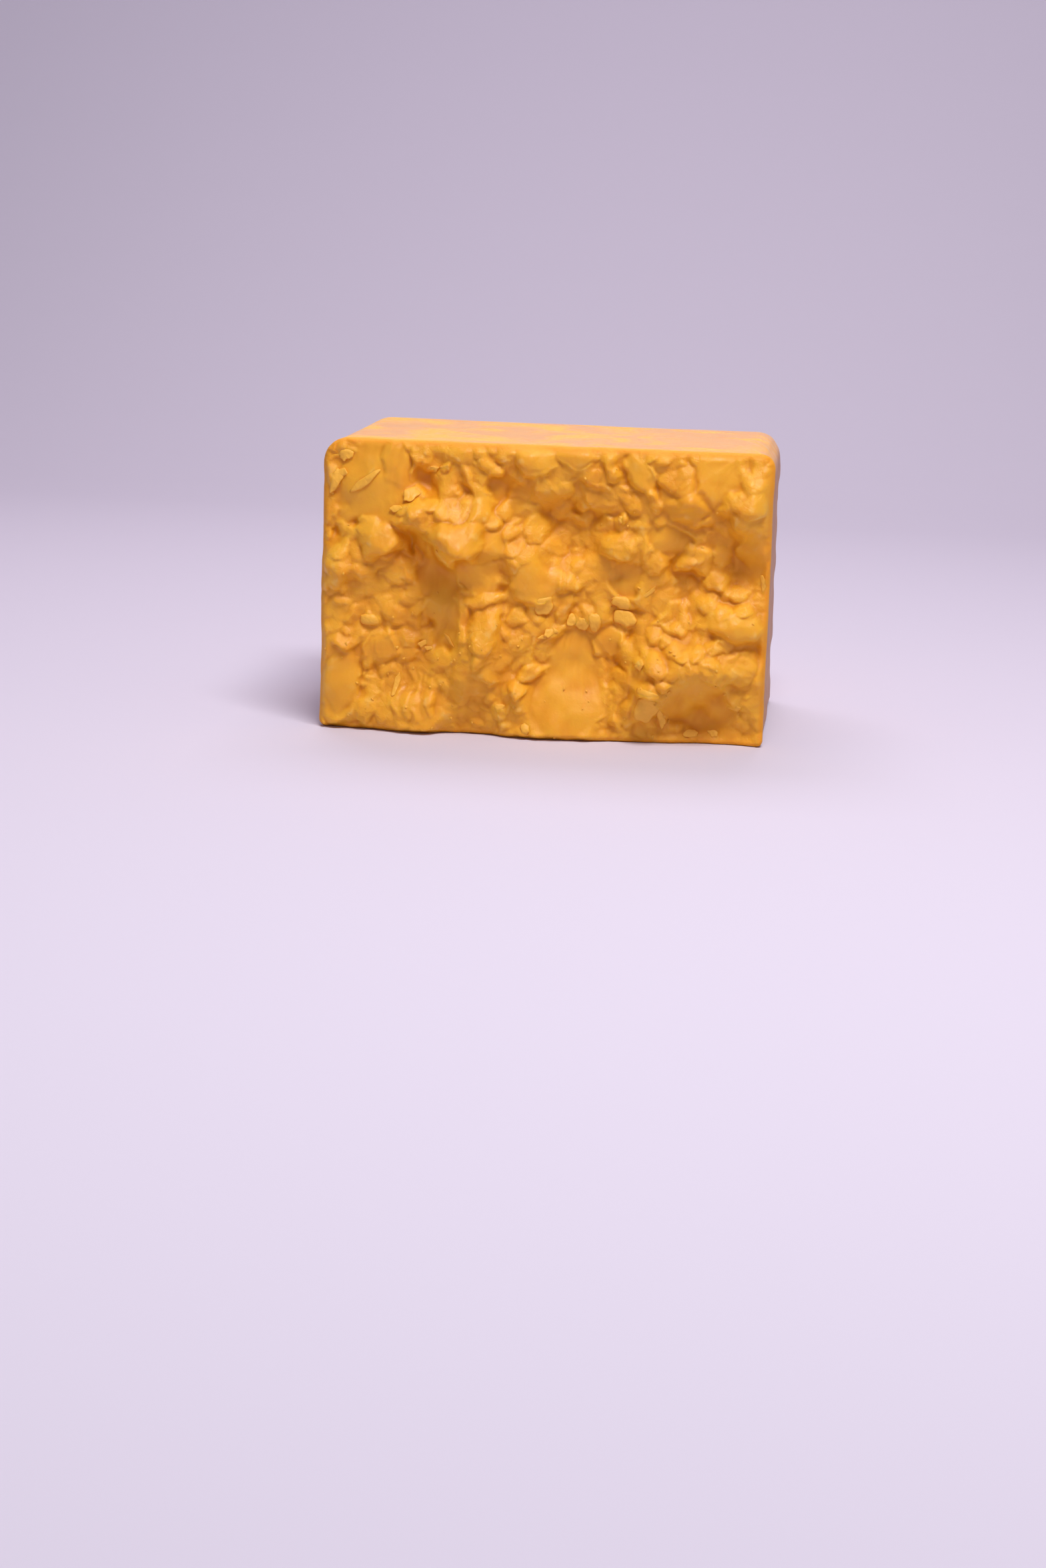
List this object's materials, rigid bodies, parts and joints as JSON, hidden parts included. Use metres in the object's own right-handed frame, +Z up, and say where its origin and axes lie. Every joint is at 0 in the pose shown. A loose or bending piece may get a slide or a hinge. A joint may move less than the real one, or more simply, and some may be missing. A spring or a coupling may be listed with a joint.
{
  "type": "block of extra mature cheddar",
  "caption": "Half of a rectangular block of coloured mature cheddar, standing on its long side, with a craggy broken front face and smooth moulded skin on the other faces.",
  "frame": {"origin": "middle of the flat foot that the block stands on", "axes": "+Z up, +X along the long edge of the broken face, which looks along -Y"},
  "size_m": [0.14, 0.103, 0.091],
  "materials": {
    "cheese": "orange-yellow hard cheese, waxy and softly glossy where it is torn, paler and matt on the moulded skin"
  },
  "bodies": {
    "root": {"cheddar_block": "cheese"}
  },
  "joints": []
}
